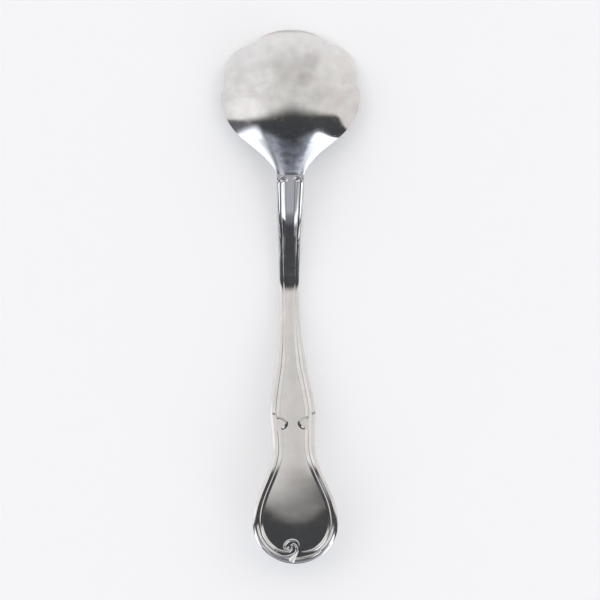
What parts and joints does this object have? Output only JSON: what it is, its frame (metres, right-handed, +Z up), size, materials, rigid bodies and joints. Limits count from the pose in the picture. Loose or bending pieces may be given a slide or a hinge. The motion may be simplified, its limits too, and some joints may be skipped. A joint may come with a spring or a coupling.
{
  "type": "serving spoon",
  "caption": "Small serving spoon for sugar: scalloped shell bowl on a reeded stem that arches and flares to a rounded, scroll-ended handle.",
  "frame": {"origin": "centre of the footprint on the table, with the spoon lying face down on the tip of its bowl and the arch of its stem", "axes": "+Z up, the way the back of the bowl faces; +Y along the spoon toward the bowl's tip; +X to the right"},
  "size_m": [0.0397, 0.152, 0.0113],
  "materials": {
    "steel_bowl": "mirror-polished stainless steel with fine use scratches",
    "steel_handle": "mirror-polished stainless steel with darker lines in the reeding"
  },
  "bodies": {
    "root": {"shell_bowl": "steel_bowl", "handle": "steel_handle"}
  },
  "joints": []
}
